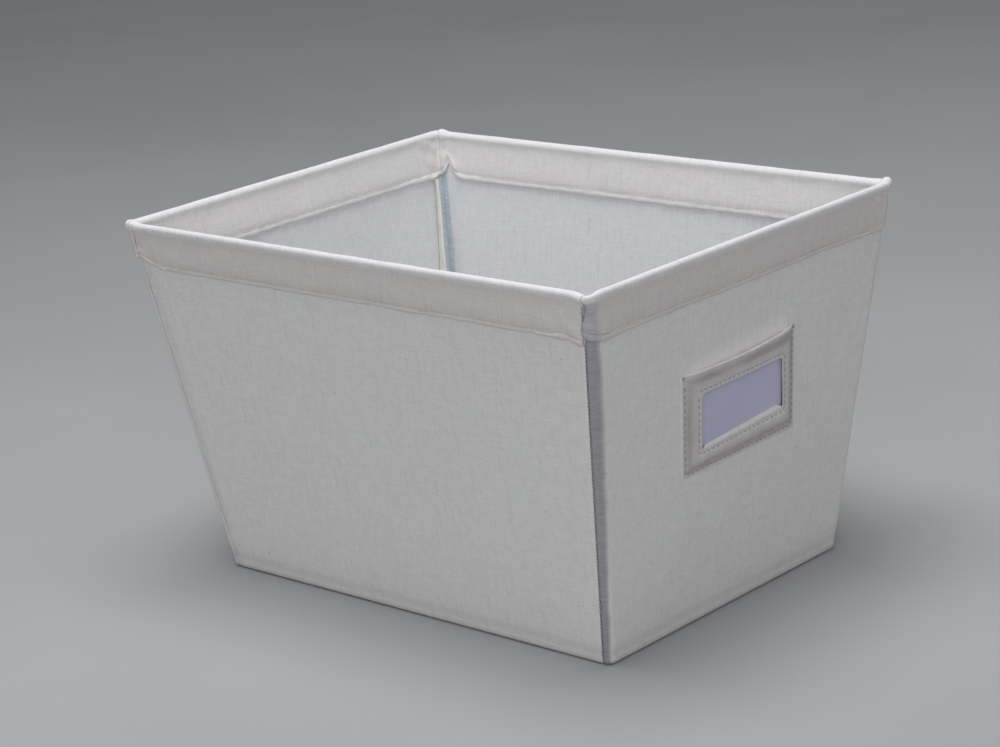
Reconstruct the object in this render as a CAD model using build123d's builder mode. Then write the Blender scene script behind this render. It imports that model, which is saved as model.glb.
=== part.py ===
"""Tapered fabric storage bin: cloth-covered boards, a wire rim in a sewn cuff, a label pocket and a loose base.

Frame: millimetres, +Z up, origin on the floor at the centre of the base.  The label end faces -Y, and the
long sides face -X and +X.  Every layer of the walls is placed by its inset from the walls' middle surface,
which leans outwards and passes through the centreline of the rim wire.  A negative inset is further out.
"""

import math
import os

from build123d import *

os.makedirs("parts", exist_ok=True)

# ---- driving dimensions, millimetres and degrees ----
RIM_WIDTH = 299.0  # rim wire centreline, along X
RIM_LENGTH = 400.0  # rim wire centreline, along Y
HEIGHT = 247.0  # floor to the top of the cuff
WALL_LEAN = 7.67  # every wall, outwards from the vertical
CORNER_RADIUS = 4.2  # upright corners, at the walls' middle surface

CLOTH = 0.7  # one layer of canvas or lining
BOARD = 2.1  # wall stiffener
LAYER_GAP = 0.05  # between neighbouring layers of a wall
TOUCH_GAP = 0.02  # between other pieces that touch
WIRE_RADIUS = 1.5
SLEEVE_WALL = 0.42
SLEEVE_LENGTH = 26.0
WIRE_END_GAP = 1.0
CUFF_CLOTH = 0.75
CUFF_INNER = 2.0  # half the width inside the cuff
CUFF_DROP = 30.0  # height of the cuff, inside and out
WALL_TOP_GAP = 2.2  # from the wire's centre down to the walls' top edges

BASE_EDGE_RADIUS = 4.0  # bottom edges of the outer cloth
LINING_EDGE_RADIUS = 3.0
BASE_TURN_UNDER = 12.0  # width of wall cloth turned in under the base
WALL_BOARD_FOOT = 5.0  # height of the wall boards' bottom edges
BOARD_END_GAP = 4.0  # between a wall board's upright edge and the corner's curve

SEAM_FOOT = 9.0  # the sewn corner allowances start above the loose base
SEAM_HEAD_GAP = 2.0  # and stop under the cuff
SEAM_DEPTH = 8.0  # how far an allowance stands into the bin
SEAM_THICKNESS = 1.4
TAPE_CLOTH = 0.5
TAPE_FOOT = 1.5  # gap between the tape's edges and the lining
TAPE_DEPTH = 9.0

HOLDER_WIDTH = 114.0
HOLDER_HEIGHT = 72.0
HOLDER_FOOT = 105.0  # up the slope, from the floor to the holder's bottom edge
HOLDER_SKEW = 2.5  # the holder is sewn on slightly askew
HOLDER_CLOTH = 0.8
POCKET_DEPTH = 1.0  # between the wall and the holder's cloth, at the bottom
POCKET_GAPE = 1.0  # degrees that the cloth and the card lean away from the wall
POCKET_SEAM = 5.0  # width sewn down at the left, right and bottom
WINDOW_WIDTH = 79.0
WINDOW_HEIGHT = 33.0
WINDOW_FOOT = 19.5
WINDOW_RADIUS = 2.5
CARD_WIDTH = 89.0
CARD_HEIGHT = 51.0
CARD_THICKNESS = 0.4
CARD_CLEARANCE = 0.3

INSERT_CLEARANCE = 2.5
INSERT_LIFT = 0.3  # above the lining's base
INSERT_BOARD = 2.5
INSERT_CLOTH = 0.6
INSERT_TURN_UNDER = 25.0
INSERT_CORNER_CUT = 13.0  # clears the corner seams

THREAD = 0.5
HEM_STITCH_RISE = 3.0  # stitch row above the cuff's lower edge
HEM_STITCH_END = 36.0  # the row stops this far from each corner
TACK_LENGTH = 13.0
TACK_WIDTH = 1.6
HOLDER_STITCH_INSET = 3.0

# ---- places worked out from them ----
WIRE_Z = HEIGHT - CUFF_INNER - CUFF_CLOTH
LEAN = math.radians(WALL_LEAN)
FLARE = math.tan(LEAN)
WALL_TOP = WIRE_Z - WALL_TOP_GAP
OUTER_FACE = -(BOARD / 2 + LAYER_GAP + CLOTH)  # inset of the canvas's outside
OUTER_BACK = OUTER_FACE + CLOTH
LINING_BACK = -OUTER_BACK
LINING_FACE = -OUTER_FACE
LINING_Z = CLOTH + LAYER_GAP
LINING_TOP_Z = LINING_Z + CLOTH
CUFF_OUTER = CUFF_INNER + CUFF_CLOTH
CUFF_FOOT = HEIGHT - CUFF_DROP * math.cos(LEAN)
INSERT_Z = LINING_TOP_Z + INSERT_LIFT
ENDS = {"label_end": -1, "plain_end": 1}  # sign of Y
SIDES = {"left_side": -1, "right_side": 1}  # sign of X
WALLS = {"label_end": (0, -1), "plain_end": (0, 1), "left_side": (-1, 0), "right_side": (1, 0)}
CORNERS = {
    "label_left": (-1, -1),
    "label_right": (1, -1),
    "plain_left": (-1, 1),
    "plain_right": (1, 1),
}


def half_width(z, inset):
    """Half the bin's size along X at height z, at this inset from the walls' middle surface."""
    return RIM_WIDTH / 2 - FLARE * (WIRE_Z - z) - inset


def half_length(z, inset):
    """The same along Y."""
    return RIM_LENGTH / 2 - FLARE * (WIRE_Z - z) - inset


def wall_half(sign_x, sign_y, z):
    """Half a wall's length along its middle at height z, corner to corner."""
    return half_width(z, 0) if sign_y else half_length(z, 0)


def tapered_block(inset, z_low, z_high, edge_radius=0.0):
    """A solid block with leaning walls and rounded corners, its bottom edges rounded if asked."""
    with BuildPart() as block:
        for z in (z_low, z_high):
            with BuildSketch(Plane.XY.offset(z)):
                RectangleRounded(
                    2 * half_width(z, inset),
                    2 * half_length(z, inset),
                    CORNER_RADIUS - inset,
                )
        loft(ruled=True)
        if edge_radius > 0:
            fillet(block.faces().sort_by(Axis.Z)[0].edges(), edge_radius)
    return block.part


def side_zone(sign, inset):
    """The space of one long side between its corner seams, with its own share of the turned-in cloth."""
    low, high = -1.0, HEIGHT + 1.0
    with BuildPart() as zone:
        with BuildSketch(Plane.YZ.offset(sign * (half_width(0, inset) - BASE_TURN_UNDER))):
            Polygon(
                (-half_length(low, CORNER_RADIUS), low),
                (half_length(low, CORNER_RADIUS), low),
                (half_length(high, CORNER_RADIUS), high),
                (-half_length(high, CORNER_RADIUS), high),
                align=None,
            )
        extrude(amount=sign * RIM_WIDTH)
    return zone.part


def base_zone(inset, z_high):
    """The space of a base panel, inside the cloth that the walls turn under it."""
    with BuildPart() as zone:
        with BuildSketch(Plane.XY.offset(-1.0)):
            Rectangle(
                2 * (half_width(0, inset) - BASE_TURN_UNDER),
                2 * (half_length(0, inset) - BASE_TURN_UNDER),
            )
        extrude(amount=z_high + 1.0)
    return zone.part


def end_piece(ring, inset, sign):
    """The part of a ring of cloth at one end, with both corners' curves."""
    with BuildPart() as piece:
        add(ring)
        for side in SIDES.values():
            add(side_zone(side, inset), mode=Mode.SUBTRACT)
        split(bisect_by=Plane.XZ, keep=Keep.BOTTOM if sign > 0 else Keep.TOP)
    return piece


def side_piece(ring, inset, sign):
    """The flat part of a ring of cloth at one long side."""
    with BuildPart() as piece:
        add(ring)
        add(side_zone(sign, inset), mode=Mode.INTERSECT)
    return piece


def wall_plane(sign_x, sign_y, inset, z):
    """On a wall's layer at height z: local X along the wall, Y up the slope and Z outwards."""
    if sign_y:
        origin = (0, sign_y * half_length(z, inset), z)
        along = (-sign_y, 0, 0)
    else:
        origin = (sign_x * half_width(z, inset), 0, z)
        along = (0, sign_x, 0)
    outwards = (sign_x * math.cos(LEAN), sign_y * math.cos(LEAN), -math.sin(LEAN))
    return Plane(origin=origin, x_dir=along, z_dir=outwards)


def save(piece, label):
    """Names a finished piece and writes it as one STEP file."""
    piece.part.label = label
    export_step(piece.part, f"parts/{label}.step")


# ---- outer cloth: four wall panels and a base panel, sewn at the corners ----
with BuildPart() as outer_cloth:
    add(tapered_block(OUTER_FACE, 0, WALL_TOP, BASE_EDGE_RADIUS))
    add(tapered_block(OUTER_BACK, CLOTH, WALL_TOP + 1, BASE_EDGE_RADIUS - CLOTH), mode=Mode.SUBTRACT)

with BuildPart() as outer_base:
    add(outer_cloth.part)
    add(base_zone(OUTER_FACE, CLOTH), mode=Mode.INTERSECT)
save(outer_base, "outer_base")

with BuildPart() as outer_ring:
    add(outer_cloth.part)
    add(base_zone(OUTER_FACE, CLOTH), mode=Mode.SUBTRACT)

for place, sign in ENDS.items():
    save(end_piece(outer_ring.part, OUTER_FACE, sign), f"outer_panel_{place}")
for place, sign in SIDES.items():
    save(side_piece(outer_ring.part, OUTER_FACE, sign), f"outer_panel_{place}")


# ---- lining: the same five panels; the end panels carry the corner seam allowances ----
def corner_slab(sign_x, sign_y, near, far, thickness, z_low, z_high):
    """An upright slab on a corner's diagonal, from near to far inwards of the lining's curved corner."""
    curve = CORNER_RADIUS - LINING_FACE
    setback = curve - curve / math.sqrt(2)
    middle = setback + (near + far) / 2 / math.sqrt(2)
    with BuildPart() as slab:
        for z in (z_low, z_high):
            centre = (
                sign_x * (half_width(z, LINING_FACE) - middle),
                sign_y * (half_length(z, LINING_FACE) - middle),
            )
            with BuildSketch(Plane.XY.offset(z)):
                with Locations(centre):
                    Rectangle(far - near, thickness, rotation=45.0 * sign_x * sign_y)
        loft(ruled=True)
    return slab.part


with BuildPart() as lining_cloth:
    add(tapered_block(LINING_BACK, LINING_Z, WALL_TOP, LINING_EDGE_RADIUS))
    add(
        tapered_block(LINING_FACE, LINING_TOP_Z, WALL_TOP + 1, LINING_EDGE_RADIUS - CLOTH),
        mode=Mode.SUBTRACT,
    )

with BuildPart() as lining_base:
    add(lining_cloth.part)
    add(base_zone(LINING_BACK, LINING_TOP_Z), mode=Mode.INTERSECT)
save(lining_base, "lining_base")

with BuildPart() as lining_ring:
    add(lining_cloth.part)
    add(base_zone(LINING_BACK, LINING_TOP_Z), mode=Mode.SUBTRACT)

seam_head = CUFF_FOOT - SEAM_HEAD_GAP
for place, sign in ENDS.items():
    plain_panel = end_piece(lining_ring.part, LINING_BACK, sign)
    with BuildPart() as lining_panel:
        add(plain_panel.part)
        for sign_x in SIDES.values():
            add(corner_slab(sign_x, sign, -CLOTH / 2, SEAM_DEPTH, SEAM_THICKNESS, SEAM_FOOT, seam_head))
    save(lining_panel, f"lining_panel_{place}")
for place, sign in SIDES.items():
    save(side_piece(lining_ring.part, LINING_BACK, sign), f"lining_panel_{place}")


# ---- corner seam tapes: cloth folded over each allowance ----
for place, (sign_x, sign_y) in CORNERS.items():
    slot = SEAM_THICKNESS + 2 * TOUCH_GAP
    with BuildPart() as seam_tape:
        add(corner_slab(sign_x, sign_y, TAPE_FOOT, TAPE_DEPTH, slot + 2 * TAPE_CLOTH, SEAM_FOOT, seam_head))
        add(
            corner_slab(sign_x, sign_y, 0, SEAM_DEPTH + TOUCH_GAP, slot, SEAM_FOOT - 1, seam_head + 1),
            mode=Mode.SUBTRACT,
        )
    save(seam_tape, f"seam_tape_{place}")


# ---- wall boards: one flat stiffener in each wall ----
def wall_board(sign_x, sign_y):
    """A leaning board between the canvas and the lining, as wide as the wall's flat."""
    reach = CORNER_RADIUS + BOARD_END_GAP
    with BuildPart() as board:
        for z in (WALL_BOARD_FOOT, WALL_TOP):
            with BuildSketch(Plane.XY.offset(z)):
                if sign_y:
                    with Locations((0, sign_y * half_length(z, 0))):
                        Rectangle(2 * half_width(z, reach), BOARD)
                else:
                    with Locations((sign_x * half_width(z, 0), 0)):
                        Rectangle(BOARD, 2 * half_length(z, reach))
        loft(ruled=True)
    return board


for place, (sign_x, sign_y) in WALLS.items():
    save(wall_board(sign_x, sign_y), f"wall_board_{place}")


# ---- rim wire, with its ends butted in a crimped sleeve at the plain end ----
rim_y = RIM_LENGTH / 2
rim_x = RIM_WIDTH / 2
with BuildPart() as rim_wire:
    with BuildLine(Plane.XY.offset(WIRE_Z)) as wire_route:
        FilletPolyline(
            (WIRE_END_GAP / 2, rim_y),
            (rim_x, rim_y),
            (rim_x, -rim_y),
            (-rim_x, -rim_y),
            (-rim_x, rim_y),
            (-WIRE_END_GAP / 2, rim_y),
            radius=CORNER_RADIUS,
        )
    with BuildSketch(Plane(wire_route.line @ 0, z_dir=wire_route.line % 0)):
        Circle(WIRE_RADIUS)
    sweep()
save(rim_wire, "rim_wire")

with BuildPart() as rim_sleeve:
    with BuildSketch(Plane(origin=(0, rim_y, WIRE_Z), z_dir=(1, 0, 0))):
        Circle(WIRE_RADIUS + TOUCH_GAP + SLEEVE_WALL)
        Circle(WIRE_RADIUS + TOUCH_GAP, mode=Mode.SUBTRACT)
    extrude(amount=SLEEVE_LENGTH / 2, both=True)
save(rim_sleeve, "rim_wire_sleeve")


# ---- rim cuffs: cloth folded over the wire and down both faces of the walls ----
with BuildPart() as cuff_ring:
    with BuildLine(Plane.XY.offset(WIRE_Z)) as cuff_route:
        FilletPolyline(
            (rim_x, rim_y),
            (rim_x, -rim_y),
            (-rim_x, -rim_y),
            (-rim_x, rim_y),
            close=True,
            radius=CORNER_RADIUS,
        )
    with BuildSketch(Plane(cuff_route.line @ 0, x_dir=(0, 0, 1), z_dir=cuff_route.line % 0)):
        Circle(CUFF_OUTER)
        Circle(CUFF_INNER, mode=Mode.SUBTRACT)
        with Locations((-CUFF_OUTER, 0)):
            Rectangle(2 * CUFF_OUTER, 2 * CUFF_OUTER, mode=Mode.SUBTRACT)
    sweep()
    for outer, inner in ((-CUFF_OUTER, -CUFF_INNER), (CUFF_INNER, CUFF_OUTER)):
        with BuildPart(mode=Mode.PRIVATE) as skirt:
            add(tapered_block(outer, CUFF_FOOT, WIRE_Z))
            add(tapered_block(inner, CUFF_FOOT - 1, WIRE_Z + 1), mode=Mode.SUBTRACT)
        add(skirt.part)

for place, sign in ENDS.items():
    save(end_piece(cuff_ring.part, OUTER_FACE, sign), f"rim_cuff_{place}")
for place, sign in SIDES.items():
    save(side_piece(cuff_ring.part, OUTER_FACE, sign), f"rim_cuff_{place}")


# ---- rim stitching: the hem rows outside and inside, and the bar tacks that end the outer rows ----
hem_z = CUFF_FOOT + HEM_STITCH_RISE
with BuildPart() as hem_stitching:
    for sign_x, sign_y in WALLS.values():
        row = 2 * (wall_half(sign_x, sign_y, hem_z) - HEM_STITCH_END)
        for inset in (-CUFF_OUTER - TOUCH_GAP, CUFF_OUTER + TOUCH_GAP + THREAD):
            with BuildSketch(wall_plane(sign_x, sign_y, inset, hem_z)):
                Rectangle(row, THREAD)
            extrude(amount=THREAD)
save(hem_stitching, "hem_stitching")

with BuildPart() as bar_tacks:
    for sign_x, sign_y in WALLS.values():
        tack = wall_half(sign_x, sign_y, hem_z) - HEM_STITCH_END + TACK_LENGTH / 2 + THREAD
        with BuildSketch(wall_plane(sign_x, sign_y, -CUFF_OUTER - TOUCH_GAP, hem_z)):
            with Locations((-tack, 0), (tack, 0)):
                SlotOverall(TACK_LENGTH, TACK_WIDTH)
        extrude(amount=THREAD)
save(bar_tacks, "bar_tacks")


# ---- label holder: a canvas frame sewn to the label end on three edges, its open top gaping slightly ----
wall_face = wall_plane(0, -1, OUTER_FACE - LAYER_GAP, HOLDER_FOOT * math.cos(LEAN))
pocket_back = Plane(wall_face * Rotation(POCKET_GAPE, 0, HOLDER_SKEW))

with BuildPart() as label_holder:
    with BuildSketch(pocket_back.offset(POCKET_DEPTH)):
        with Locations((0, HOLDER_HEIGHT / 2)):
            Rectangle(HOLDER_WIDTH, HOLDER_HEIGHT)
        with Locations((0, WINDOW_FOOT + WINDOW_HEIGHT / 2)):
            RectangleRounded(WINDOW_WIDTH, WINDOW_HEIGHT, WINDOW_RADIUS, mode=Mode.SUBTRACT)
    extrude(amount=HOLDER_CLOTH)
    with BuildSketch(pocket_back.offset(POCKET_DEPTH)):
        with Locations((0, HOLDER_HEIGHT / 2)):
            Rectangle(HOLDER_WIDTH, HOLDER_HEIGHT)
        with Locations((0, POCKET_SEAM + HOLDER_HEIGHT / 2)):
            Rectangle(HOLDER_WIDTH - 2 * POCKET_SEAM, HOLDER_HEIGHT, mode=Mode.SUBTRACT)
    extrude(amount=-2 * POCKET_DEPTH - HOLDER_HEIGHT * math.tan(math.radians(POCKET_GAPE)))
    split(bisect_by=wall_face, keep=Keep.TOP)
save(label_holder, "label_holder")

with BuildPart() as label_card:
    with BuildSketch(pocket_back.offset(CARD_CLEARANCE)):
        with Locations((0, POCKET_SEAM + CARD_CLEARANCE + CARD_HEIGHT / 2)):
            Rectangle(CARD_WIDTH, CARD_HEIGHT)
    extrude(amount=CARD_THICKNESS)
save(label_card, "label_card")

with BuildPart() as holder_stitching:
    edge_x = HOLDER_WIDTH / 2 - HOLDER_STITCH_INSET
    window_x = WINDOW_WIDTH / 2 + HOLDER_STITCH_INSET
    window_low = WINDOW_FOOT - HOLDER_STITCH_INSET
    window_high = WINDOW_FOOT + WINDOW_HEIGHT + HOLDER_STITCH_INSET
    with BuildSketch(pocket_back.offset(POCKET_DEPTH + HOLDER_CLOTH + TOUCH_GAP)):
        with Locations((-edge_x, HOLDER_HEIGHT / 2), (edge_x, HOLDER_HEIGHT / 2)):
            Rectangle(THREAD, HOLDER_HEIGHT - 2 * HOLDER_STITCH_INSET)
        with Locations((0, HOLDER_STITCH_INSET)):
            Rectangle(2 * edge_x + THREAD, THREAD)
        with Locations((0, (window_low + window_high) / 2)):
            Rectangle(2 * window_x + THREAD, window_high - window_low + THREAD)
            Rectangle(2 * window_x - THREAD, window_high - window_low - THREAD, mode=Mode.SUBTRACT)
    extrude(amount=THREAD)
save(holder_stitching, "label_holder_stitching")


# ---- loose base: a board with its corners cut off, in a canvas wrap turned under its edges ----
def insert_outline(margin):
    """The loose base's outline, this far in from its outside."""
    reach = INSERT_CLEARANCE + LINING_FACE + margin
    outline = Rectangle(2 * half_width(INSERT_Z, reach), 2 * half_length(INSERT_Z, reach))
    chamfer(outline.vertices(), INSERT_CORNER_CUT)


insert_height = INSERT_BOARD + 2 * (INSERT_CLOTH + TOUCH_GAP)
with BuildPart() as insert_board:
    with BuildSketch(Plane.XY.offset(INSERT_Z + INSERT_CLOTH + TOUCH_GAP)):
        insert_outline(INSERT_CLOTH + TOUCH_GAP)
    extrude(amount=INSERT_BOARD)
save(insert_board, "insert_board")

with BuildPart() as insert_wrap:
    with BuildSketch(Plane.XY.offset(INSERT_Z)):
        insert_outline(0)
    extrude(amount=insert_height)
    with BuildSketch(Plane.XY.offset(INSERT_Z + INSERT_CLOTH)):
        insert_outline(INSERT_CLOTH)
    extrude(amount=INSERT_BOARD + 2 * TOUCH_GAP, mode=Mode.SUBTRACT)
    with BuildSketch(Plane.XY.offset(INSERT_Z)):
        insert_outline(INSERT_TURN_UNDER)
    extrude(amount=INSERT_CLOTH, mode=Mode.SUBTRACT)
save(insert_wrap, "insert_wrap")
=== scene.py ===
"""Looks of a canvas storage bin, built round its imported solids.

Metres, +Z up.  A place on a wall is a column (a share of the wall's flat, and a turn round the corner
beyond it) and a row of the cloth's cross-section.  A row's `out` is measured outwards from the wall's middle
surface, which leans outwards and passes through the centre of the rim wire.
"""

import math
import random
from collections import namedtuple

import bpy
from mathutils import Matrix, Vector, noise


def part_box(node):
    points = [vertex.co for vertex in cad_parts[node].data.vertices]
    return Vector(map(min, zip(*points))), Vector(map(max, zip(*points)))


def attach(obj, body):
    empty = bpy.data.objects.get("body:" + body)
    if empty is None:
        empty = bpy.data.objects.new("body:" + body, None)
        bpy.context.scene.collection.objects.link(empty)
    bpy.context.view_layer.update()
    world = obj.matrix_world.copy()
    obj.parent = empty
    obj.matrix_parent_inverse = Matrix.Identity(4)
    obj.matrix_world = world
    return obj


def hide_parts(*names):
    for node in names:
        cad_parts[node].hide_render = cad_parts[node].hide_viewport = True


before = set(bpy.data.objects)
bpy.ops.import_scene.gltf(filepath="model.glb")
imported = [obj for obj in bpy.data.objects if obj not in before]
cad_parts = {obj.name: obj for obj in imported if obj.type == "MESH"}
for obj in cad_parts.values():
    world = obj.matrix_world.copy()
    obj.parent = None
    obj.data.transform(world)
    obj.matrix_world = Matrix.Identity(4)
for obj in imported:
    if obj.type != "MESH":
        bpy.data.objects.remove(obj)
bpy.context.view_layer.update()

# ---- sizes read from the frame ----
MM = 0.001
BOARD = 2.1 * MM
wire_low, wire_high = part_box("rim_wire")
board_low, board_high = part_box("wall_board_left_side")
WIRE_RADIUS = (wire_high.z - wire_low.z) / 2
RIM_Z = (wire_high.z + wire_low.z) / 2
RIM_X = wire_high.x - WIRE_RADIUS
RIM_Y = wire_high.y - WIRE_RADIUS
FLARE = (board_high.x - board_low.x - BOARD) / (board_high.z - board_low.z)
LEAN = math.atan(FLARE)
WALL_TOP = board_high.z
HEM_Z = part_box("rim_cuff_label_end")[0].z
LINING_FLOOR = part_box("lining_base")[1].z
INSERT_LOW, INSERT_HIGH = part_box("insert_wrap")
SEAM_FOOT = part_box("seam_tape_label_left")[0].z
SEAM_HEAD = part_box("seam_tape_label_left")[1].z

# ---- sizes of the cloth ----
CORNER_RADIUS = 4.2 * MM  # at the walls' middle surface
SHARPEST = 0.3 * MM
CLOTH = 0.6 * MM
CANVAS_FACE = 1.8 * MM
TUBE_RADIUS = 3.0 * MM
TURN_UNDER = 12 * MM
BARE_SHADED_STRIP = 8.8 * MM  # cloth with no board behind it, beside an outer corner seam, painted darker also as shade of the hollow behind it
LINING_BARE_SHADED_STRIP = 4.9 * MM
HEM_STITCH_RISE = 3 * MM
HEM_STITCH_END = 42 * MM
STITCH_PITCH = 2.9 * MM
THREAD_RADIUS = 0.24 * MM
# how far along the weave a piece's own cloth starts, in metres, so that no two pieces show the same threads
HOLDER_WEAVE = 71.0
INSERT_WEAVE = 5.0

WALLS = {"label_end": (0, -1), "plain_end": (0, 1), "left_side": (-1, 0), "right_side": (1, 0)}
ENDS = ("label_end", "plain_end")
SIDES = ("left_side", "right_side")
SEEDS = {"label_end": 11.3, "plain_end": 23.7, "left_side": 37.1, "right_side": 53.9}

Row = namedtuple("Row", "out z up normal_out normal_z")


def smooth(low, high, value):
    """0 below low, 1 above high, and a smooth step between."""
    t = min(max((value - low) / (high - low), 0.0), 1.0)
    return t * t * (3 - 2 * t)


def bump(value, centre, width):
    """1 at the centre, falling to nothing about two widths away."""
    return math.exp(-(((value - centre) / width) ** 2))


def wave(x, y, size, seed):
    """Smooth noise from -1 to 1 whose bumps are about this size, in metres."""
    return noise.noise(Vector((x / size, y / size, seed)))


# ---- node helpers and materials ----
def add_node(tree, kind, inputs=None, **settings):
    """Makes a shader node, sets its properties, and links or sets its inputs."""
    made = tree.nodes.new(kind)
    for key, value in settings.items():
        setattr(made, key, value)
    for key, value in (inputs or {}).items():
        if isinstance(value, bpy.types.NodeSocket):
            tree.links.new(value, made.inputs[key])
        else:
            made.inputs[key].default_value = value
    return made


def math_node(tree, operation, first, second=0.0, clamp=False):
    """A Math node's output."""
    inputs = {0: first, 1: second}
    return add_node(tree, "ShaderNodeMath", inputs, operation=operation, use_clamp=clamp).outputs[0]


def product(tree, first, second):
    """Two values multiplied."""
    return math_node(tree, "MULTIPLY", first, second)


def total(tree, *values):
    """The sum of some values."""
    running = values[0]
    for value in values[1:]:
        running = math_node(tree, "ADD", running, value)
    return running


def stretch(tree, vector, x, y, z=1.0):
    """The vector scaled by x, y and z."""
    return add_node(tree, "ShaderNodeVectorMath", {0: vector, 1: (x, y, z)}, operation="MULTIPLY").outputs[0]


def noise_at(tree, vector, scale, detail=2.0):
    """A Noise texture's value."""
    inputs = {"Vector": vector, "Scale": scale, "Detail": detail, "Roughness": 0.55}
    return add_node(tree, "ShaderNodeTexNoise", inputs).outputs["Fac"]


def mixed(tree, share, first, second, blend="MIX"):
    """Two colours mixed by a share."""
    inputs = {0: share, 6: first, 7: second}
    return add_node(tree, "ShaderNodeMix", inputs, data_type="RGBA", blend_type=blend).outputs[2]


def tone(tree, value, low, high):
    """Maps a texture's middle range to the range from low to high."""
    inputs = {"Value": value, "From Min": 0.3, "From Max": 0.7, "To Min": low, "To Max": high}
    return add_node(tree, "ShaderNodeMapRange", inputs).outputs[0]


def blended(tree, texture, first, second):
    """Two colours mixed by a texture's middle range."""
    return mixed(tree, tone(tree, texture, 0.0, 1.0), (*first, 1), (*second, 1))


def cells(tree, vector, channel):
    """A cell texture: the distance to the nearest cell's middle, and that cell's random value."""
    made = add_node(tree, "ShaderNodeTexVoronoi", {"Vector": vector, "Scale": 1.0})
    value = add_node(tree, "ShaderNodeSeparateColor", {0: made.outputs["Color"]}).outputs[channel]
    return made.outputs["Distance"], value


def relief_normal(tree, height, strength, depth):
    """The surface's normal, with this height as its relief."""
    inputs = {"Height": height, "Strength": strength, "Distance": depth}
    return add_node(tree, "ShaderNodeBump", inputs).outputs[0]


def object_place(tree):
    """The place on the object, in metres."""
    return add_node(tree, "ShaderNodeTexCoord").outputs["Object"]


def new_material(name):
    """An empty material, its node tree and its output."""
    material = bpy.data.materials.new(name)
    material.use_nodes = True
    tree = material.node_tree
    tree.nodes.clear()
    return material, tree, tree.nodes.new("ShaderNodeOutputMaterial")


def finish_material(tree, output, inputs):
    """Links a Principled shader with these inputs to the output."""
    shader = add_node(tree, "ShaderNodeBsdfPrincipled", inputs)
    tree.links.new(shader.outputs[0], output.inputs["Surface"])


PAINTED_HIGHLIGHT = (0.90, 0.87, 0.83)


def cloth_material(name, colour, bare_dirt_and_shade, warm, pale=PAINTED_HIGHLIGHT, threads=0.62, flecks=0.965, relief=0.4):
    """Plain-woven cotton, warm in its thicker patches.

    The cloth's `tone` runs from 1, the darker colour: bare cloth with nothing behind it, dirt, and painted
    shade, to -1, the pale colour: a painted highlight where the cloth stands proud or faces the light.
    """
    material, tree, output = new_material(name)
    uv = add_node(tree, "ShaderNodeUVMap", uv_map="cloth").outputs[0]
    pitch = threads * MM

    # threads of uneven thickness, both ways
    warp = noise_at(tree, stretch(tree, uv, 1 / pitch, 0.03 / pitch), 1.0, 3.0)
    weft = noise_at(tree, stretch(tree, uv, 0.03 / pitch, 1 / pitch), 1.0, 3.0)
    yarn = product(tree, total(tree, warp, weft), 0.5)

    # the over and under of the weave
    split = add_node(tree, "ShaderNodeSeparateXYZ", {0: uv})
    across = math_node(tree, "SINE", product(tree, split.outputs[0], math.pi / pitch))
    along = math_node(tree, "SINE", product(tree, split.outputs[1], math.pi / pitch))
    weave = math_node(tree, "ABSOLUTE", product(tree, across, along))

    # slubs: short thick lengths of yarn
    slub_distance, slub_pick = cells(tree, stretch(tree, uv, 700, 60), 0)
    slub_swell = math_node(tree, "SUBTRACT", 0.75, slub_distance, clamp=True)
    slub = product(tree, math_node(tree, "GREATER_THAN", slub_pick, 0.93), slub_swell)

    # flecks of seed husk
    husk_distance, husk_pick = cells(tree, stretch(tree, uv, 240, 210), 1)
    near_husk = math_node(tree, "LESS_THAN", husk_distance, 0.14)
    speck = product(tree, math_node(tree, "GREATER_THAN", husk_pick, flecks), near_husk)

    # colour: backing, with the darker colour for bare cloth, dirt and painted shade and the pale colour for
    # painted highlight; warm blotches, mottling, yarn, slubs and flecks
    cloth_tone = add_node(tree, "ShaderNodeAttribute", attribute_name="tone").outputs["Fac"]
    bare_dirt_and_shade_share = math_node(tree, "MAXIMUM", cloth_tone, 0.0)
    painted_highlight_share = math_node(tree, "MAXIMUM", product(tree, cloth_tone, -1.0), 0.0)
    blotch = noise_at(tree, uv, 16, 3.0)
    mottle = noise_at(tree, uv, 170, 4.0)
    base = mixed(tree, tone(tree, blotch, 0.0, 0.75), (*colour, 1), (*warm, 1))
    base = mixed(tree, bare_dirt_and_shade_share, base, (*bare_dirt_and_shade, 1))
    base = mixed(tree, painted_highlight_share, base, (*pale, 1))
    grain = noise_at(tree, uv, 720, 2.0)
    shade = product(tree, tone(tree, yarn, 0.90, 1.08), tone(tree, mottle, 0.965, 1.03))
    shade = product(tree, shade, tone(tree, grain, 0.955, 1.045))
    shade = product(tree, shade, tone(tree, weave, 0.96, 1.03))
    shade = math_node(tree, "SUBTRACT", shade, product(tree, slub, 0.10))
    ribs = noise_at(tree, stretch(tree, uv, 90, 620), 1.0, 2.0)
    shade = total(tree, shade, product(tree, bare_dirt_and_shade_share, tone(tree, ribs, 0.10, -0.10)))
    grey = add_node(tree, "ShaderNodeCombineColor", {0: shade, 1: shade, 2: shade}).outputs[0]
    base = mixed(tree, 1.0, base, grey, "MULTIPLY")
    base = mixed(tree, product(tree, speck, 0.3), base, (0.16, 0.13, 0.10, 1))

    # relief
    weave_height = total(tree, product(tree, yarn, 1.2), product(tree, weave, 0.5))
    rib_height = product(tree, product(tree, ribs, bare_dirt_and_shade_share), 2.0)
    height = total(tree, weave_height, product(tree, slub, 0.8), grain, rib_height)
    finish = {"Roughness": 0.92, "Specular IOR Level": 0.15, "Sheen Weight": 0.12, "Sheen Roughness": 0.5}
    normal = relief_normal(tree, height, relief, 0.4 * MM)
    finish_material(tree, output, {"Base Color": base, "Normal": normal, **finish})
    return material


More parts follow.
